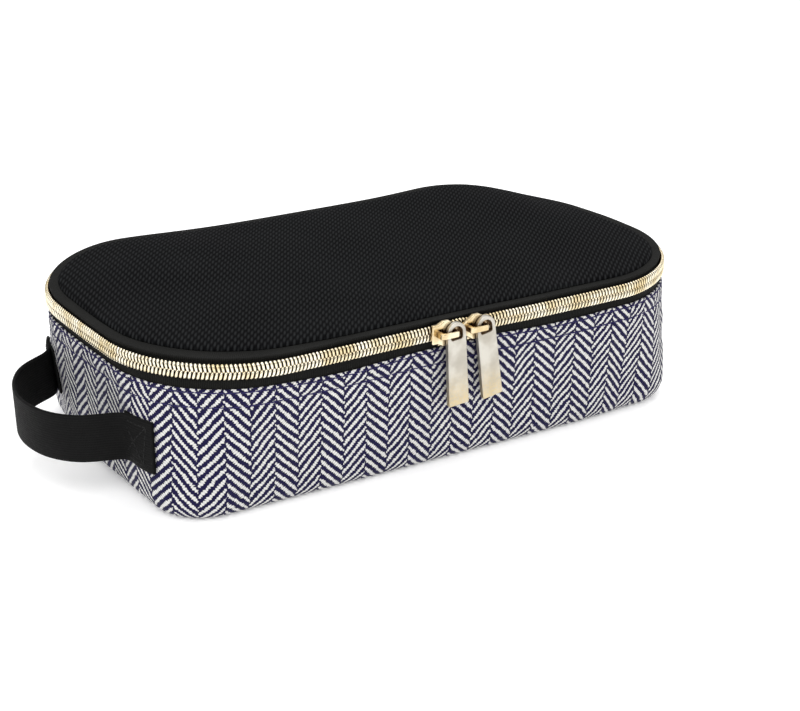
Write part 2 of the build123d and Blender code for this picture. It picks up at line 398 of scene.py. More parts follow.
class Finish:
    # one material: its constants go straight on the shader, its patterns come from nodes
    def __init__(self, name, **constants):
        self.material = bpy.data.materials.new(name)
        self.material.use_nodes = True
        self.tree = self.material.node_tree
        self.shader = self.tree.nodes["Principled BSDF"]
        for key, value in constants.items():
            self.shader.inputs[key.replace("_", " ")].default_value = value

    def node(self, kind, settings, inputs, out=0):
        made = self.tree.nodes.new(kind)
        for key, value in settings.items():
            if key == "stops":
                ramp = made.color_ramp
                while len(ramp.elements) < len(value):
                    ramp.elements.new(1.0)
                for element, (place, colour) in zip(ramp.elements, value):
                    element.position = place
                    element.color = (*colour, 1)
            else:
                setattr(made, key, value)
        for key, value in inputs.items():
            self.feed(made.inputs[key], value)
        return Wire(self, made.outputs[out])

    def feed(self, socket, value):
        if isinstance(value, Wire):
            self.tree.links.new(value.socket, socket)
        elif isinstance(value, tuple) and len(value) == 3 and socket.type == "RGBA":
            socket.default_value = (*value, 1)
        else:
            socket.default_value = value

    def uv(self):
        # the cloth's own u and v, in millimetres
        found = self.node("ShaderNodeUVMap", {"uv_map": "cloth"}, {})
        parts = self.node("ShaderNodeSeparateXYZ", {}, {0: found})
        return (
            Wire(self, parts.socket.node.outputs[0]) * 1000.0,
            Wire(self, parts.socket.node.outputs[1]) * 1000.0,
        )

    def place(self):
        # place in the object, in metres, as a vector
        return self.node("ShaderNodeTexCoord", {}, {}, out=3)

    def placeParts(self):
        parts = self.node("ShaderNodeSeparateXYZ", {}, {0: self.place()})
        return tuple(Wire(self, parts.socket.node.outputs[k]) * 1000.0 for k in range(3))

    def noise(self, scale, detail=2.0, rough=0.5, vector=None):
        # about 0.5, for a scale in bumps per metre
        return self.node(
            "ShaderNodeTexNoise",
            {},
            {"Vector": vector or self.place(), "Scale": scale, "Detail": detail, "Roughness": rough},
        )

    def mix(self, factor, a, b):
        return self.node("ShaderNodeMix", {"data_type": "RGBA"}, {0: factor, 6: a, 7: b}, out=2)

    def bump(self, height, distance, strength=1.0):
        # height of 0 to 1 stands for distance in metres
        self.feed(
            self.shader.inputs["Normal"],
            self.node("ShaderNodeBump", {}, {"Strength": strength, "Distance": distance, "Height": height}),
        )

    def colour(self, value):
        self.feed(self.shader.inputs["Base Color"], value)

    def roughness(self, value):
        self.feed(self.shader.inputs["Roughness"], value)


def shade(*values):
    # 0 to 255 screen colour to the linear one that nodes take
    return tuple(((v / 255 + 0.055) / 1.055) ** 2.4 if v > 10 else v / 255 / 12.92 for v in values)


# Patterned cloth: broken herringbone in two yarns. Columns of slanting stripes turn about at each
# column edge, where the stripes are also half a stripe out. Stripes are rows of short floats.
herringbone = {
    "column": 10.3,
    "stripe": 4.05,         # from stripe to stripe up the cloth
    "slope": 0.97,
    "start": 15.8,          # a column edge, from the middle of the front
    "float": 1.05,          # length of one float along its stripe
    "light": shade(230, 229, 223),
    "dark": shade(6, 4, 38),
}


def makeHerringbone(name):
    h = herringbone
    f = Finish(name, Specular_IOR_Level=0.25, Sheen_Weight=0.08, Sheen_Roughness=0.4)
    u, v = f.uv()
    wobble = f.noise(90.0, 1.0) - 0.5
    u = u + wobble * 1.1
    v = v + (f.noise(70.0, 1.0) - 0.5) * 0.9
    # the ends of the stripes are uneven, so the column edges wander between threads
    columns = (u - h["start"] + (f.noise(650.0, 1.0) - 0.5) * 1.6) / h["column"]
    column = columns.floor()
    odd = column.maths("FLOORED_MODULO", column, 2.0)
    part = columns - column
    ramp = (part + odd * (1 - 2 * part)) * h["column"]
    phase = (v + ramp * h["slope"]) / h["stripe"] + odd * 0.5
    across = (phase.fract() - 0.5) * 2
    run = (v - ramp / h["slope"]) * 0.7
    bead = (run * (math.pi / h["float"])).sine()
    bead = bead * bead
    fray = f.noise(1500.0, 2.0)
    edge = abs(part - 0.5).smooth(0.40, 0.5)
    width = 0.32 + bead * 0.22 + (fray - 0.5) * 0.26 - edge * 0.2
    light = 1 - abs(across).smooth(width - 0.08, width + 0.08)
    cast = f.noise(25.0, 2.0)
    pale = f.mix(cast, tuple(c * 0.86 for c in h["light"]), h["light"])
    # painted shade: the pale yarn greys towards (168, 168, 178) between its beads, where one float dips into
    # the next
    pale = f.mix((1 - bead) * 0.5 + (fray - 0.5) * 0.3, pale, shade(168, 168, 178))
    deep = f.mix(fray, h["dark"], shade(20, 15, 66))
    f.colour(f.mix(light, deep, pale))
    f.roughness(0.82 + fray * 0.14)
    roundness = 1 - across * across
    yarn = light * (0.35 + roundness * 0.3 + bead * 0.35)
    f.bump(yarn + (1 - light) * fray * 0.25, 0.0004, 0.8)
    return f.material


def makeRibbed(name, dark, light, pitch, depth, alongU=True, rough=0.7, sheen=0.0, cross=0.0):
    # woven band: ribs at a pitch along u or v, finer threads the other way, uneven wear, and painted shade
    # in the grooves between them
    f = Finish(name, Specular_IOR_Level=0.1, Sheen_Weight=sheen, Sheen_Roughness=0.5)
    u, v = f.uv()
    along, over = (u, v) if alongU else (v, u)
    rib = (along * (2 * math.pi / pitch)).sine() * 0.5 + 0.5
    thread = (over * (2 * math.pi / (pitch * 0.55)) + rib * 3.0).sine() * 0.5 + 0.5
    grain = f.noise(900.0, 2.0)
    cloud = f.noise(60.0, 2.0)
    height = rib * (1 - cross) + thread * cross + (grain - 0.5) * 0.3
    # colour follows the height of ribs and threads: painted shade in the grooves and painted highlight on
    # the tops; cloud adds uneven tone
    f.colour(f.mix(height * 0.55 + (cloud - 0.5) * 0.5, dark, light))
    f.roughness(rough + (grain - 0.5) * 0.25)
    f.bump(height, depth, 0.7)
    return f.material


def makeMesh():
    # air mesh: painted highlights on the knots of a slanting lattice, two waves across the cloth and their
    # sum
    f = Finish("blackMesh", Specular_IOR_Level=0.03)
    x, y, _ = f.placeParts()
    x = x + (f.noise(60.0, 1.0) - 0.5) * 0.9
    y = y + (f.noise(45.0, 1.0) - 0.5) * 0.9
    one = (x * 0.335 - y * 0.385) * (2 * math.pi)
    two = (x * 0.352 - y * 0.02) * (2 * math.pi)
    wave = one.cosine() + two.cosine() * 0.7 + (one + two).cosine() * 0.7
    knot = (wave / 4.8 + 0.5).smooth(0.15, 1.0)
    grain = f.noise(1400.0, 2.0)
    cloud = f.noise(30.0, 3.0)
    # painted highlight: the knots, where the yarns cross, are coloured lighter than the black cloth
    lit = knot * (0.6 + grain * 0.6) + (cloud - 0.5) * 0.25
    f.colour(f.mix(lit, shade(4, 4, 5), shade(37, 38, 39)))
    f.roughness(0.68 + grain * 0.25)
    f.bump(knot + grain * 0.3, 0.00022, 0.7)
    return f.material


def makeGold(name, dark, light, rough, brushed=0.0, foot=None):
    # plated metal: colour clouds, faint scratches and a rougher worn skin
    f = Finish(name, Metallic=1.0)
    cloud = f.noise(140.0, 3.0)
    scratch = f.noise(2600.0, 2.0)
    x, _, z = f.placeParts()
    brush = (x * 9.0 + z * 31.0 + cloud * 14.0).sine() * 0.5 + 0.5
    # painted shade: dark brown where two faces stand close, from ambient occlusion
    openness = f.node("ShaderNodeAmbientOcclusion", {"samples": 8}, {"Distance": 0.003}, out=1)
    tint = f.mix(cloud.smooth(0.3, 0.7), dark, light)
    tint = f.mix(openness.smooth(0.25, 0.95), shade(96, 66, 34), tint)
    if foot:
        # warmer and grainier towards the lower end
        grain = f.noise(1100.0, 3.0, 0.8)
        low = 1 - z.smooth(22.0, 46.0)
        tint = f.mix(low * (0.35 + grain.smooth(0.35, 0.65) * 0.65), tint, foot)
    f.colour(tint)
    f.roughness(rough + (scratch - 0.5) * 0.14 + brush * brushed * 0.1)
    f.bump(scratch * 0.5 + brush * brushed, 0.00004, 0.6)
    return f.material


def makePlain(name, dark, light, rough, size, depth, sheen=0.0):
    # soft padding or felted cloth: two tones in a fine grain
    f = Finish(name, Specular_IOR_Level=0.2, Sheen_Weight=sheen)
    grain = f.noise(size, 4.0, 0.7)
    cloud = f.noise(40.0, 2.0)
    f.colour(f.mix(grain * 0.7 + cloud * 0.3, dark, light))
    f.roughness(rough + (grain - 0.5) * 0.2)
    f.bump(grain, depth, 0.7)
    return f.material


def makeFloor():
    f = Finish("paleFloor", Specular_IOR_Level=0.1, Emission_Color=(1, 1, 1, 1), Emission_Strength=0.23)
    grain = f.noise(400.0, 3.0)
    f.colour(f.mix(grain, shade(250, 250, 250), shade(253, 253, 253)))
    f.roughness(0.85 + grain * 0.1)
    return f.material


finishes = {
    "herringbone_cloth": makeHerringbone("herringboneCloth"),
    "base_cloth": makeHerringbone("baseCloth"),
    "foam": makePlain("foam", shade(226, 226, 222), shade(240, 240, 236), 0.9, 1800.0, 0.0003),
    "lining_cloth": makeRibbed(
        "liningCloth", shade(20, 20, 24), shade(52, 52, 60), 0.6, 0.00012, cross=0.5, rough=0.5
    ),
    "black_binding": makeRibbed("blackBinding", shade(8, 8, 9), shade(40, 40, 42), 1.3, 0.0003),
    "zip_tape": makeRibbed("zipTape", shade(9, 9, 8), shade(37, 37, 35), 0.85, 0.00022, cross=0.25),
    "hinge_cloth": makeRibbed("hingeCloth", shade(9, 9, 8), shade(37, 37, 35), 0.85, 0.00022, cross=0.3),
    "black_mesh": makeMesh(),
    "gold_coil": makeGold("goldCoil", shade(226, 208, 164), shade(255, 248, 226), 0.26),
    "gold_cast": makeGold("goldCast", shade(204, 182, 140), shade(240, 226, 194), 0.16),
    "gold_pull": makeGold(
        "goldPull", shade(182, 176, 164), shade(208, 204, 194), 0.3, brushed=1.0, foot=shade(218, 194, 140)
    ),
    "black_webbing": makeRibbed(
        "blackWebbing", shade(5, 5, 5), shade(29, 29, 29), 1.0, 0.00022, alongU=False, cross=0.45
    ),
    "navy_thread": makePlain("navyThread", shade(24, 21, 58), shade(52, 48, 98), 0.8, 5000.0, 0.0001),
    "black_thread": makePlain("blackThread", shade(10, 10, 10), shade(44, 44, 44), 0.75, 5000.0, 0.0001),
}


def dress(piece, body, slot, *nodes):
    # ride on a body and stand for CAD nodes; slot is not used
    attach(piece, body)
    if nodes:
        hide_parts(*nodes)
    return piece


print("case cloth")
wall = {
    "upperStitch": 50.7,
    "lowerStitch": 45.1,
    "stitchPitch": 2.9,
    "threadLift": 0.22,
    "swell": 0.28,
}


def wallChange(walked, height):
    # The cloth pinches in at its two stitch lines, swells between them, and wanders softly below.
    # Positive moves in.
    pinchUpper = 0.3 * np.exp(-(((height - wall["upperStitch"]) / 0.55) ** 2))
    pinchLower = 0.42 * np.exp(-(((height - wall["lowerStitch"]) / 0.8) ** 2))
    beat = 0.5 + 0.5 * np.cos(walked * 2 * np.pi / wall["stitchPitch"])
    between = np.exp(-(((height - 47.9) / 1.8) ** 2))
    body = np.clip((height - 2) / 8, 0, 1) * np.clip((44.5 - height) / 8, 0, 1)
    soft = ripple(walked, height, 4) * 0.3 * body
    gather = 0.14 * ripple(walked, height * 0.3, 9, low=0.05, high=0.16) * np.clip((height - 30) / 15, 0, 1)
    total = pinchUpper * (0.6 + 0.4 * beat) + pinchLower * (0.6 + 0.4 * beat)
    total = total - wall["swell"] * between - 0.15 * body + soft + gather
    return np.clip(total, -0.5, 0.75)


turn = np.linspace(np.pi / 2, 0, 13)
rollOut = np.stack([case["roll"] * (1 - np.sin(turn)), case["tuck"] * (1 - np.cos(turn))], axis=-1)


def rollAt(inset):
    # the rolled base edge, at a distance inside the outer face
    height = case["roll"] - (case["roll"] - inset) * np.sin(turn)
    return np.stack([height, case["tuck"] - (case["tuck"] - inset) * np.cos(turn)], axis=-1)


rollIn = rollAt(1)
top = wallHigh[2]
foldTurn = np.linspace(0, np.pi, 9)[1:-1]
fold = np.stack([top - 0.5 + 0.5 * np.sin(foldTurn), 0.5 - 0.5 * np.cos(foldTurn)], axis=-1)
rise = np.linspace(case["roll"], top - 0.5, 54)[1:, None] * [1, 0]
down = np.linspace(top - 0.5, case["roll"], 8)[:, None] * [1, 0] + [0, 1]
profile = np.concatenate([rollOut, rise, fold, down, rollIn[::-1][1:]])


def outerOnly(change):
    # leaves the hidden inner face of the cloth where it is
    def changed(walked, height):
        moved = change(walked, height)
        moved[len(rollOut) + len(rise) + len(fold):] = 0
        moved[0] = 0
        return moved
    return changed


wallCloth = ringPiece(
    "wallCloth", profile, finishes["herringbone_cloth"], columns=740, change=outerOnly(wallChange)
)
dress(wallCloth, "case", "herringbone_cloth", "side_wall")


def stitchRing(height, pitch, lift, count=3000):
    # a row of stitches round the case at a height, along a line of count points
    t = np.linspace(0, 4, count)
    points, normals, walked = around(t, np.full(count, height), np.zeros(count))
    change = wallChange(walked, np.full(count, height)) - lift
    return placesAlong(points - normals * change[:, None], normals, pitch)


rimStitch = stitches(
    "rimStitch",
    [
        stitchRing(wall["upperStitch"], wall["stitchPitch"], wall["threadLift"]),
        stitchRing(wall["lowerStitch"], wall["stitchPitch"], wall["threadLift"]),
    ],
    finishes["navy_thread"],
)
dress(rimStitch, "case", "herringbone_cloth")


def tray(halfX, halfY, corner, rows, columns):
    # Points of a rounded rectangle on a grid: rows go by y, evenly on the straight and by angle in
    # the corners, and each row is shared out between its two ends.
    bend = np.linspace(0, np.pi / 2, max(6, rows // 5))[1:]
    low = np.stack(
        [-(halfY - corner) - corner * np.sin(bend), halfX - corner + corner * np.cos(bend)], axis=-1
    )[::-1]
    flat = np.stack([np.linspace(-(halfY - corner), halfY - corner, rows), np.full(rows, halfX)], axis=-1)
    both = np.concatenate([low, flat, low[::-1] * [-1, 1]])
    # columns crowd towards the ends, so that the edge is as fine as the corners
    s = np.linspace(-1, 1, columns)
    s = s * (1.25 - 0.25 * s * s)
    return both[:, 1:] * s, both[:, :1] + 0 * s


def edgeDistance(x, y, halfX, halfY, corner):
    # how far a point is inside a rounded rectangle
    awayX = np.abs(x) - (halfX - corner)
    awayY = np.abs(y) - (halfY - corner)
    outside = np.hypot(np.maximum(awayX, 0), np.maximum(awayY, 0))
    return corner - outside - np.minimum(np.maximum(awayX, awayY), 0)


def slabPiece(name, x, y, low, high, material):
    # closed flat piece between two heights, each a grid or a number
    top = np.stack(np.broadcast_arrays(x, y, high), axis=-1)
    under = np.stack(np.broadcast_arrays(x, y, low), axis=-1)
    rows, columns = x.shape
    both = settled(np.concatenate([top.reshape(-1, 3), under.reshape(-1, 3)]))
    i, j = np.meshgrid(np.arange(rows - 1), np.arange(columns - 1), indexing="ij")
    quads = np.stack(
        [i * columns + j, i * columns + j + 1, (i + 1) * columns + j + 1, (i + 1) * columns + j], axis=-1
    ).reshape(-1, 4)
    rim = np.concatenate([
        np.arange(columns),
        np.arange(1, rows) * columns + columns - 1,
        (rows - 1) * columns + np.arange(columns - 1)[::-1],
        np.arange(1, rows - 1)[::-1] * columns,
    ])
    after = np.roll(rim, -1)
    size = rows * columns
    side = np.stack([rim, rim + size, after + size, after], axis=-1)
    faces = np.concatenate([quads, quads[:, ::-1] + size, side])
    uv = both[faces.ravel()][:, :2]
    return meshPiece(name, both, faces.tolist(), material, uv)


baseX, baseY = bottomHigh[:2]
baseCorner = case["footCorner"] - case["tuck"]
x, y = tray(baseX + 0.05, baseY + 0.05, baseCorner, 40, 60)
inside = np.clip(edgeDistance(x, y, baseX, baseY, baseCorner), 0, None)
lift = 0.25 * np.clip(inside / 6, 0, 1) + 0.1 * ripple(x, y, 12) * np.clip(inside / 10, 0, 1)
underside = np.clip(lift, 0, 0.6) * (inside > 0.5)
baseCloth = slabPiece("baseCloth", x, y, underside, 1.0, finishes["base_cloth"])
dress(baseCloth, "case", "base_cloth", "bottom_panel")

print("padding and lining")
padding = {
    "outer": 1.0,           # insets of the foam's two faces, and of the outer one behind the tape
    "inner": 3.0,
    "behindTape": 1.6,
    "lining": 3.2,          # inset of the middle of the lining
    "liningThick": 0.4,
    "top": 50.0,
}
foamTop = [
    (43.8, padding["outer"]), (43.9, padding["outer"]), (44.2, padding["behindTape"]),
    (padding["top"], padding["behindTape"]), (padding["top"], padding["inner"]), (43.0, padding["inner"]),
]
foamProfile = np.concatenate([
    rollAt(padding["outer"]), rounded(foamTop, [0.05, 0.2, 0.5, 0.5]), rollAt(padding["inner"])[::-1]
])
wallFoam = ringPiece("wallFoam", foamProfile, finishes["foam"], columns=360)
dress(wallFoam, "case", "foam", "wall_padding")

x, y = tray(baseX - 0.05, baseY - 0.05, baseCorner, 30, 50)
foamFace = padding["inner"] + 0.05 * ripple(x, y, 3)
baseFoam = slabPiece("baseFoam", x, y, padding["outer"], foamFace, finishes["foam"])
dress(baseFoam, "case", "foam", "base_padding")


def liningChange(walked, height):
    # soft folds, all inwards, that die away at the floor and the rim
    folds = 0.35 * np.abs(ripple(walked, height, 21, low=0.01, high=0.05))
    return folds * np.clip((height - 6) / 10, 0, 1) * np.clip((44 - height) / 8, 0, 1)


# lining: down the wall, round the roll and over the floor to the middle, as one tub
columns = 360
t = np.linspace(0, 4, columns + 1)
down = np.linspace(padding["top"], case["roll"], 24)
roll = rollAt(padding["lining"])[::-1]
side = np.concatenate([np.stack([down, 0 * down + padding["lining"]], axis=-1), roll[1:]])
height, inset = side[:, :1], side[:, 1:]
_, _, walked = around(t[None], height, inset)
points, _, walked = around(t[None], height, inset + liningChange(walked, height))
rim = points[-1]
shrink = np.linspace(1, 0.012, 22)[1:, None, None]
floor = rim[None] * [1, 1, 0] * shrink + [0, 0, padding["lining"]]
swell = 0.25 * np.abs(ripple(floor[..., 0], floor[..., 1], 23))
floor[..., 2] += swell * np.clip((1 - shrink[..., 0]) * 6, 0, 1)
tub = np.concatenate([points, floor])
v = np.concatenate([stations(side), stations(side)[-1] + (1 - shrink[:, 0, 0]) * 90])
uv = np.stack(np.broadcast_arrays(walked[:1], v[:, None]), axis=-1)
lining = gridPiece(
    "lining", tub[:, :-1], finishes["lining_cloth"], uv, closed=(False, True), facing=(0, 0, 1)
)
fill = lining.data
work = bmesh.new()
work.from_mesh(fill)
hole = [e for e in work.edges if e.is_boundary and max(v.co.z for v in e.verts) < 0.01]
bmesh.ops.contextual_create(work, geom=hole)
bmesh.ops.recalc_face_normals(work, faces=work.faces)
if sum(f.normal.z * f.calc_area() for f in work.faces) < 0:
    bmesh.ops.reverse_faces(work, faces=work.faces)
work.to_mesh(fill)
work.free()
thick = lining.modifiers.new("thick", "SOLIDIFY")
thick.thickness = padding["liningThick"] * mm
thick.offset = 0.0
dress(lining, "case", "lining_cloth", "side_lining", "bottom_lining")


def flatBand(name, height, inner, outer, thick, material, t=None, columns=360):
    # flat ring lying on its side, between two insets
    start = (height, (inner + outer) / 2)
    corners = [(height, inner), (height + thick, inner), (height + thick, outer), (height, outer)]
    profile = rounded([start, *corners, start], [thick * 0.45] * 4, 3)[:-1]
    return ringPiece(name, profile, material, t=t, columns=columns)


baseTape = flatBand("baseTape", 3.42, 6.2, 12.0, 0.55, finishes["black_binding"])
dress(baseTape, "case", "black_binding", "base_binding")
rimProfile = rounded(
    [
        (50.05, 2.6), (50.05, 1.7), (50.65, 1.7), (50.65, 4.05),
        (44.0, 4.05), (44.0, 3.45), (50.05, 3.45), (50.05, 2.6),
    ],
    [0.25, 0.25, 0.4, 0.25, 0.25, 0.1],
    4,
)[:-1]
rimTape = ringPiece("rimTape", rimProfile, finishes["black_binding"], columns=480)
dress(rimTape, "case", "black_binding", "rim_binding")

print("zip")
chain = {
    "pitch": 1.66,
    "wire": 0.42,           # half the wire's depth
    "wide": 0.82,           # half its width at the outer edge, on a stroke, and at the head
    "strokeWide": 0.6,
    "headWide": 0.62,
    "low": span("zip_coil_lower")[0][2],
    "high": span("zip_coil_upper")[1][2],
    "middle": case["zip"],
    "cross": 0.5,           # how far each half reaches past the middle
    "out": 1.35,
    "back": 1.0,
    "open": 75.0,           # half length of the unzipped strip at the back
    "arch": 0.8,            # how far the halves part between the sliders
    "archAt": -4.2,
}
_, _, _, _, chainRound = outline(
    4.0,
    case["footX"] + case["leanX"] * (case["zip"] - case["roll"]),
    case["footY"] + case["leanY"] * (case["zip"] - case["roll"]),
    case["rimCorner"],
)
chainRound = float(chainRound)
openT = 4 * chain["open"] / chainRound


def makeCoil(name, upper, samples=12, sides=6):
    # A flat helix along the zip: its strokes go up and down across the half chain while the wire
    # turns from the outer face to the tape and back. The two halves turn in opposite hands and
    # stand half a turn apart, so that their heads lie between each other.
    c = chain
    turns = int((4 - 2 * openT) / 4 * chainRound / c["pitch"])
    angle = np.linspace(0, turns * 2 * np.pi, turns * samples + 1)
    start = (2 + openT) / 4 * chainRound
    shift = 0 if upper else 0.5
    s = start + c["pitch"] * (0.5 + shift + angle / (2 * np.pi) * (turns - 1) / turns)
    outer = c["high"] if upper else c["low"]
    head = c["middle"] - c["cross"] if upper else c["middle"] + c["cross"]
    middle, reach = (outer + head) / 2, (outer - head) / 2
    reach = reach - np.sign(reach) * c["wire"]
    swing = np.cos(angle)
    across = np.sign(swing) * np.abs(swing) ** 0.8
    centre = (c["out"] - c["back"]) / 2
    depth = (c["out"] + c["back"]) / 2 - c["wire"]
    out = centre + depth * np.sign(np.sin(angle)) * np.abs(np.sin(angle)) ** 0.75
    t = s / chainRound * 4
    points, normals, _ = around(t, np.full(len(t), c["middle"]), -out)
    gap = c["arch"] * hump(points[:, 0], c["archAt"], 5.5) * (points[:, 1] < 0)
    points[:, 2] += middle + across * reach + (gap if upper else -0.5 * gap) - c["middle"]
    way = unit(np.gradient(points, axis=0))
    lean = normals * np.sin(angle)[:, None] * depth + np.array([0, 0, 1.0]) * (swing * reach)[:, None]
    lean = unit(lean - way * np.sum(lean * way, axis=1, keepdims=True))
    other = np.cross(way, lean)
    ring = np.arange(sides) / sides * 2 * np.pi
    width = c["strokeWide"] * (0.58 + 0.42 * np.sin(angle))
    width = width + (c["wide"] - width) * np.clip(swing, 0, 1) ** 3
    width = width + (c["headWide"] - width) * np.clip(-swing, 0, 1) ** 3
    tube = (
        points[:, None]
        + lean[:, None] * (np.cos(ring) * c["wire"])[None, :, None]
        + other[:, None] * (np.sin(ring) * width[:, None])[:, :, None]
    )
    return gridPiece(name, tube, finishes["gold_coil"], closed=(False, True), caps=True)


coilUpper = dress(makeCoil("coilUpper", True), "lid", "gold_coil", "zip_coil_upper")
coilLower = dress(makeCoil("coilLower", False), "case", "gold_coil", "zip_coil_lower")

tapeT = (2 + openT, 6 - openT)
tapeProfile = rounded(
    [(50, 1.0), (58.55, 1.0), (58.55, 1.6), (44.0, 1.6), (44.0, 1.0), (50, 1.0)], [0.25] * 4, 3
)[:-1]
tapeProfile = divided(np.concatenate([tapeProfile, tapeProfile[:1]]), 2.5)[:-1]
tapeLower = ringPiece("zipTapeLower", tapeProfile, finishes["zip_tape"], t=tapeT, columns=560)
dress(tapeLower, "case", "zip_tape", "zip_tape_lower")

lidTop = span("zip_tape_upper")[1][2]
lidTape = {"edge": 10.0, "bend": 1.0}


def overTheRim(low):
    # tape profile: up behind the chain, over the rim in a round bend and flat to the mesh
    return rounded(
        [
            (60.5, 1.0), (61.9, 1.0), (lidTop + 0.35, 0.1), (lidTop, 4.5), (lidTop, lidTape["edge"]),
            (lidTop - 0.6, lidTape["edge"]), (lidTop - 0.6, 1.6), (low, 1.6), (low, 1.0), (60.5, 1.0),
        ],
        [0.5, lidTape["bend"], 1.0, 0.25, 0.25, 0.9, 0.25, 0.25],
        6,
    )[:-1]


upperProfile = overTheRim(59.25)
upperProfile = divided(np.concatenate([upperProfile, upperProfile[:1]]), 1.5)[:-1]
tapeUpper = ringPiece("zipTapeUpper", upperProfile, finishes["zip_tape"], t=tapeT, columns=560)
dress(tapeUpper, "lid", "zip_tape", "zip_tape_upper")

hingeProfile = overTheRim(44.0)
hingeProfile = divided(np.concatenate([hingeProfile, hingeProfile[:1]]), 0.8)[:-1]
hinge = ringPiece("hingeStrip", hingeProfile, finishes["hinge_cloth"], t=(2 - openT, 2 + openT), columns=120)
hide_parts("hinge_strip_lower", "hinge_strip_upper")
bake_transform(hinge)


def blunt(wave):
    # squarer than a sine wave
    return np.sign(wave) * np.abs(wave) ** 0.45


for node, name in (("zip_end_left", "zipEndLeft"), ("zip_end_right", "zipEndRight")):
    low, high = span(node)
    lengthwise = np.linspace(-1, 1, 9)
    fat = (1 - np.abs(lengthwise) ** 6) ** (1 / 3) * 0.25 + 0.75
    fat[[0, -1]] = 0.35
    ringTurn = np.arange(16) / 16 * 2 * np.pi
    middle, halfSize = (low + high) / 2, (high - low) / 2
    xx = middle[0] + lengthwise[:, None] * (halfSize[0] + 0.6) + 0 * ringTurn
    yy = middle[1] + blunt(np.cos(ringTurn))[None] * halfSize[1] * fat[:, None]
    zz = middle[2] + blunt(np.sin(ringTurn))[None] * (halfSize[2] + 0.25) * fat[:, None]
    points = np.stack([xx, yy, zz], axis=-1)
    uv = np.stack(np.broadcast_arrays(xx[:, :1], np.arange(17) * 0.7), axis=-1)
    tab = gridPiece(name, points, finishes["black_binding"], uv, closed=(False, True), caps=True)
    dress(tab, "case", "black_binding", node)

print("lid")
_, meshHigh = span("lid_mesh")
lid = {
    "reach": 3.0,           # how far the mesh laps over its tape
    "crown": meshHigh[2] - lidTop,
    "edge": 2.2,            # width of the rolled edge, and its height
    "edgeHigh": 1.25,
    "thick": 0.8,
    "hem": 0.3,             # thickness left at its very edge
    "corner": case["rimCorner"] - 8.0,
    "drawnIn": 4.2,         # at the left front corner
}
meshX, meshY = meshHigh[0] + lid["reach"], meshHigh[1] + lid["reach"]
lid["corner"] += lid["reach"]
x, y = tray(meshX, meshY, lid["corner"], 100, 190)
inside = np.clip(edgeDistance(x, y, meshX, meshY, lid["corner"]), 0, None)
# the mesh rolls up from its seam, then crowns slowly, with soft unevenness away from the seam
crown = lid["edgeHigh"] * np.sqrt(np.clip(1 - (1 - np.clip(inside / lid["edge"], 0, 1)) ** 2, 0, 1))
crown = crown + (lid["crown"] - lid["edgeHigh"]) * (1 - np.exp(-inside / 14))
drawn = lid["drawnIn"] * ease(-x, 50, 105) * ease(-y, 5, 55)
x, y = x + drawn * 0.6, y + drawn * 0.8
crown = crown + 0.22 * ripple(x, y, 41, low=0.004, high=0.02) * np.clip(inside / 15, 0, 1)
crown = np.maximum(crown, lid["hem"])
under = lidTop + np.clip(crown - lid["thick"], 0, None) * (inside > 0.01)
lidMesh = slabPiece("lidMesh", x, y, under, lidTop + crown, finishes["black_mesh"])
dress(lidMesh, "lid", "black_mesh", "lid_mesh")
2 * meshX * mm
2 * meshY * mm

lidSeam = flatBand("lidSeamTape", lidTop - 1.2, 4.0, 10.0, 0.6, finishes["black_binding"], columns=480)
dress(lidSeam, "lid", "black_binding", "lid_binding")

print("handle")
strap = {
    "width": 20.0,
    "thick": 1.4,
    "height": (span("handle_loop")[0][2] + span("handle_loop")[1][2]) / 2,
    "off": 1.7,             # strap middle off the wall, over its folded end
    "skew": 3.5,
}


def wallX(y, z):
    # x of the end wall's face at a place on it
    rise = z - case["roll"]
    halfX = case["footX"] + case["leanX"] * rise
    halfY = case["footY"] + case["leanY"] * rise
    corner = case["footCorner"] + case["leanCorner"] * rise
    beyond = np.clip(np.abs(y) - (halfY - corner), 0, corner * 0.999)
    return -(halfX - corner) - np.sqrt(corner ** 2 - beyond ** 2)


def onWall(y):
    return (float(wallX(y, strap["height"])) - strap["off"], y)


route = [
    onWall(-52.4), onWall(-47.5), onWall(-43), onWall(-39.5), (-133.2, -36.8), (-139.5, -34.6),
    (-147.5, -32.4), (-153.6, -27), (-158.1, -19.5), (-159.7, -11.5), (-160.1, -4.5), (-159.2, 3),
    (-156.4, 11.5), (-151.8, 20.5), (-147.2, 26.8), (-140.5, 31.6), (-134.4, 35.0),
    onWall(39.0), onWall(43), onWall(47.5), onWall(52.4),
]
line = spline(route, 260)
way = unit(np.gradient(line, axis=0))
outward = np.stack([-way[:, 1], way[:, 0]], axis=-1)
if outward[0, 0] > 0:
    outward = -outward
strapProfile = capsule(strap["width"], strap["thick"])
z = strap["height"] + strapProfile[None, :, 0]
offX = outward[:, None, 0] * strapProfile[None, :, 1]
offY = outward[:, None, 1] * strapProfile[None, :, 1]
nearWall = np.clip((line[:, 0] + 142) / 9, 0, 1)[:, None]
nearWall = nearWall * nearWall * (3 - 2 * nearWall)
lean = wallX(line[:, 1:2], z) - wallX(line[:, 1:2], strap["height"])
lean = lean * nearWall - case["leanX"] * (z - strap["height"]) * (1 - nearWall)
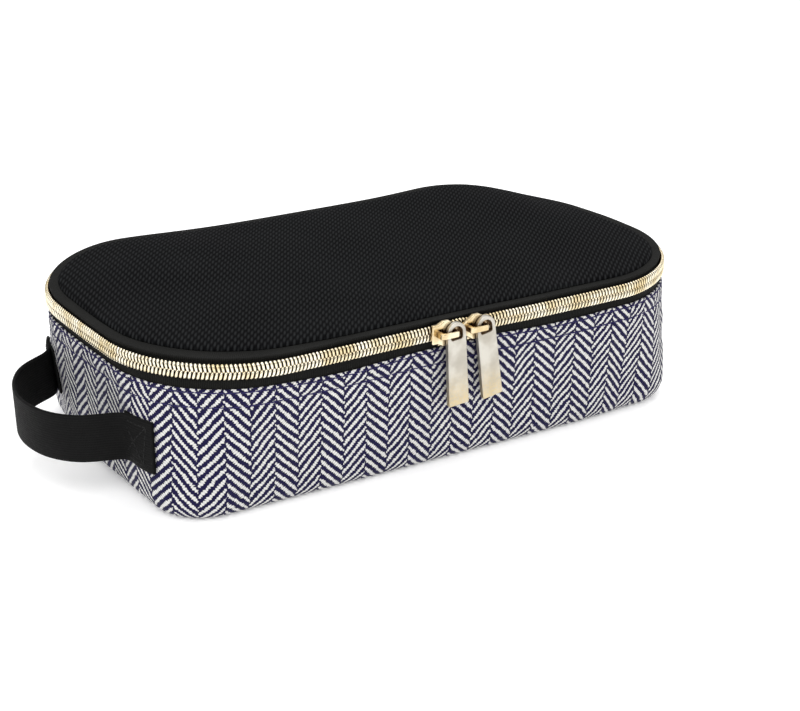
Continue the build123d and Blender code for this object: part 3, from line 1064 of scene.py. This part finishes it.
# the sewn ends are cut a little on the slant, longer at the bottom
skew = np.clip((np.abs(line[:, 1:2]) - 46) / 6.4, 0, 1) * np.sign(line[:, 1:2])
skew = skew * strap["skew"] * (0.5 - (z - strap["height"]) / strap["width"])
skewX = wallX(line[:, 1:2] + skew, z) - wallX(line[:, 1:2], z)
points = settled(np.stack(
    [line[:, :1] + offX + lean + skewX, line[:, 1:] + offY + skew, z + 0 * offX], axis=-1
))
u = stations(line)
v = stations(np.concatenate([strapProfile, strapProfile[:1]]))
uv = np.stack(np.broadcast_arrays(u[:, None], v[None]), axis=-1)
strapPiece = gridPiece("handleStrap", points, finishes["black_webbing"], uv, closed=(False, True), caps=True)
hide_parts("handle_loop", "handle_end_front", "handle_end_rear")
strapZ = strap["height"] * mm
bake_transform(strapPiece)
strap["width"] * mm

for side, name in ((-1, "strapFoldFront"), (1, "strapFoldRear")):
    y = side * np.linspace(35.4, 51.6, 20)
    foldProfile = capsule(strap["width"] - 0.5, 1.0)
    z = strap["height"] + foldProfile[None, :, 0]
    x = wallX(y[:, None], z) - 0.5 - foldProfile[None, :, 1]
    points = settled(np.stack(np.broadcast_arrays(x, y[:, None], z), axis=-1))
    v = stations(np.concatenate([foldProfile, foldProfile[:1]]))
    uv = np.stack(np.broadcast_arrays(y[:, None], v[None]), axis=-1)
    under = gridPiece(name, points, finishes["black_webbing"], uv, closed=(False, True), caps=True)
    dress(under, "case", "black_webbing")
    # box stitching with a cross
    near, far, low, high = side * 37.5, side * 50.6, strap["height"] - 7.6, strap["height"] + 7.6
    rows = []
    for a, b in (
        ((near, low), (far, low)), ((far, low), (far, high)), ((far, high), (near, high)),
        ((near, high), (near, low)), ((near, low), (far, high)), ((near, high), (far, low)),
    ):
        f = np.linspace(0, 1, 40)[:, None]
        yz = np.array(a) * (1 - f) + np.array(b) * f
        xs = wallX(yz[:, 0], yz[:, 1]) - strap["off"] - strap["thick"] / 2 - 0.02
        path = settled(np.stack([xs, yz[:, 0], yz[:, 1]], axis=-1))
        slopeY = (wallX(yz[:, 0] + 0.5, yz[:, 1]) - wallX(yz[:, 0] - 0.5, yz[:, 1]))
        slopeZ = (wallX(yz[:, 0], yz[:, 1] + 0.5) - wallX(yz[:, 0], yz[:, 1] - 0.5))
        normal = unit(np.stack([-np.ones(40), slopeY, slopeZ], axis=-1))
        rows.append(placesAlong(path, normal, 2.4))
    cross = stitches(
        name.replace("Fold", "Stitch"), rows, finishes["black_thread"], length=1.9, thick=0.5
    )
    dress(cross, "case", "black_webbing")

print("CAD pieces kept")
for node, slotName in (
    ("slider_left", "gold_cast"), ("slider_right", "gold_cast"),
    ("pull_left", "gold_pull"), ("pull_right", "gold_pull"),
):
    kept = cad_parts[node]
    kept.data.materials.clear()
    kept.data.materials.append(finishes[slotName])

print("room, lights and camera")
plane = bpy.data.meshes.new("floor")
size = 6.0
floorCorners = [(-size, -size, 0), (size, -size, 0), (size, size, 0), (-size, size, 0)]
plane.from_pydata(floorCorners, [], [(0, 1, 2, 3)])
ground = bpy.data.objects.new("floor", plane)
plane.materials.append(makeFloor())
bpy.context.scene.collection.objects.link(ground)
ground.location.z = -0.0002

world = bpy.data.worlds.new("room")
world.use_nodes = True
world.node_tree.nodes["Background"].inputs[0].default_value = (1, 1, 1, 1)
# brighter overhead than near the floor, so that metal has something to show
sky = world.node_tree.nodes.new("ShaderNodeMapRange")
up = world.node_tree.nodes.new("ShaderNodeSeparateXYZ")
way = world.node_tree.nodes.new("ShaderNodeTexCoord")
world.node_tree.links.new(way.outputs["Generated"], up.inputs[0])
world.node_tree.links.new(up.outputs[2], sky.inputs[0])
for place, value in enumerate((0.0, 0.7, 0.38, 0.8)):
    sky.inputs[place + 1].default_value = value
world.node_tree.links.new(sky.outputs[0], world.node_tree.nodes["Background"].inputs[1])
bpy.context.scene.world = world


def areaLight(name, place, target, size, power):
    data = bpy.data.lights.new(name, "AREA")
    data.shape = "RECTANGLE"
    data.size, data.size_y = size
    data.energy = power
    lamp = bpy.data.objects.new(name, data)
    bpy.context.scene.collection.objects.link(lamp)
    lamp.location = place
    lamp.rotation_euler = (Vector(target) - Vector(place)).to_track_quat("-Z", "Y").to_euler()


areaLight("keyLight", (-0.5, -0.9, 1.1), (0, 0, 0.03), (0.9, 0.7), 6)
areaLight("topLight", (0.3, 0.3, 1.3), (0, 0, 0.05), (1.2, 1.0), 8)
areaLight("sideLight", (-1.1, -0.15, 0.45), (-0.1, 0, 0.03), (0.7, 0.5), 2.6)
areaLight("fillLight", (0.9, -0.9, 0.5), (0, 0, 0.04), (0.7, 0.6), 2)

camera = {
    "azimuth": -34.09,
    "elevation": 21.72,
    "roll": 0.0197,
    "distance": 0.8426,
    "target": (0.01932, 0, 0.01654),
    "lens": 85.85,
}
data = bpy.data.cameras.new("camera")
data.lens = camera["lens"]
data.sensor_width = 36.0
data.clip_start = 0.05
eye = bpy.data.objects.new("camera", data)
bpy.context.scene.collection.objects.link(eye)
azimuth, elevation = math.radians(camera["azimuth"]), math.radians(camera["elevation"])
back = Vector((
    math.sin(azimuth) * math.cos(elevation), -math.cos(azimuth) * math.cos(elevation), math.sin(elevation)
))
right = Vector((0, 0, 1)).cross(back).normalized()
upward = back.cross(right)
cosRoll, sinRoll = math.cos(camera["roll"]), math.sin(camera["roll"])
rolledRight = right * cosRoll + upward * sinRoll
rolledUp = upward * cosRoll - right * sinRoll
eye.matrix_world = Matrix.Translation(Vector(camera["target"]) + back * camera["distance"]) @ Matrix(
    (rolledRight, rolledUp, back)
).transposed().to_4x4()
bpy.context.scene.camera = eye
bpy.context.scene.view_settings.view_transform = "Standard"
